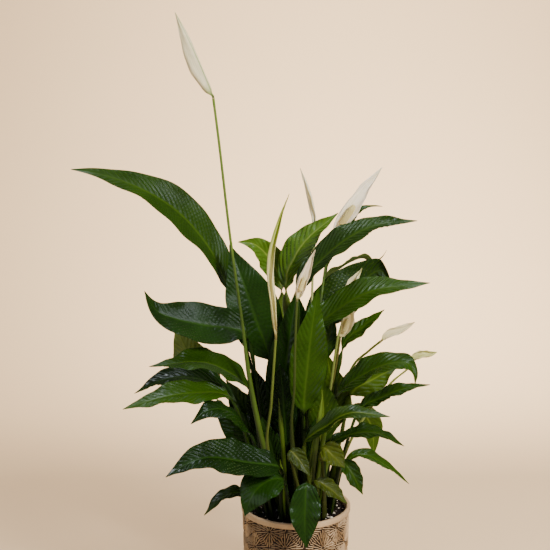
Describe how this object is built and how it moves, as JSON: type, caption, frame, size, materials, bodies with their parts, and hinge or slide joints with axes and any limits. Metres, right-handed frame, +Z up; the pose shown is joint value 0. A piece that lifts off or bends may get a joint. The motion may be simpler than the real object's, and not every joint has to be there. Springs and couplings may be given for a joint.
{
  "type": "potted peace lily",
  "caption": "Peace lily in a round tapered pot: arching glossy leaves on long stalks and hooded white flowers above dark potting mix.",
  "frame": {"origin": "centre of the pot's flat base, on the surface that it stands on", "axes": "+Z up along the pot's axis; the side of the plant meant to be seen faces -Y; +X is to the right of someone looking along +Y"},
  "size_m": [0.4853, 0.2678, 0.8042],
  "materials": {
    "pot_stoneware": "matt tan stoneware with carved fans stained dark brown",
    "potting_mix": "moist crumbly peat mix with white perlite grains",
    "leaf": "glossy deep green with sunken side veins and a pale midrib",
    "stalk": "satin yellow-green",
    "spathe": "soft white with fine lengthwise veins and green midrib",
    "bud": "pale cream-green, rolled",
    "spadix": "matt cream with fine knobbles"
  },
  "bodies": {
    "root": {"pot": "pot_stoneware", "soil": "potting_mix", "leaf_01": "leaf", "leaf_02": "leaf", "leaf_03": "leaf", "leaf_04": "leaf", "leaf_05": "leaf", "leaf_06": "leaf", "leaf_07": "leaf", "leaf_08": "leaf", "leaf_09": "leaf", "leaf_10": "leaf", "leaf_11": "leaf", "leaf_12": "leaf", "leaf_13": "leaf", "leaf_14": "leaf", "leaf_15": "leaf", "leaf_16": "leaf", "leaf_17": "leaf", "leaf_18": "leaf", "leaf_19": "leaf", "leaf_20": "leaf", "leaf_21": "leaf", "leaf_22": "leaf", "leaf_23": "leaf", "leaf_24": "leaf", "leaf_25": "leaf", "leaf_26": "leaf", "leaf_27": "leaf", "leaf_28": "leaf", "leaf_29": "leaf", "leaf_30": "leaf", "leaf_31": "leaf", "leaf_32": "leaf", "leaf_33": "leaf", "leaf_34": "leaf", "leaf_35": "leaf", "leaf_36": "leaf", "leaf_37": "leaf", "leaf_38": "leaf", "leaf_39": "leaf", "leaf_40": "leaf", "bud_1": "bud", "bud_2": "bud", "bud_3": "bud", "flower_1_stalk": "stalk", "flower_2_stalk": "stalk", "flower_3_stalk": "stalk", "flower_4_stalk": "stalk", "flower_5_stalk": "stalk", "flower_6_stalk": "stalk", "flower_1_spathe": "spathe", "flower_2_spathe": "spathe", "flower_3_spathe": "spathe", "flower_4_spathe": "spathe", "flower_5_spathe": "spathe", "flower_6_spathe": "spathe", "flower_2_spadix": "spadix", "flower_4_spadix": "spadix", "flower_5_spadix": "spadix"}
  },
  "joints": []
}
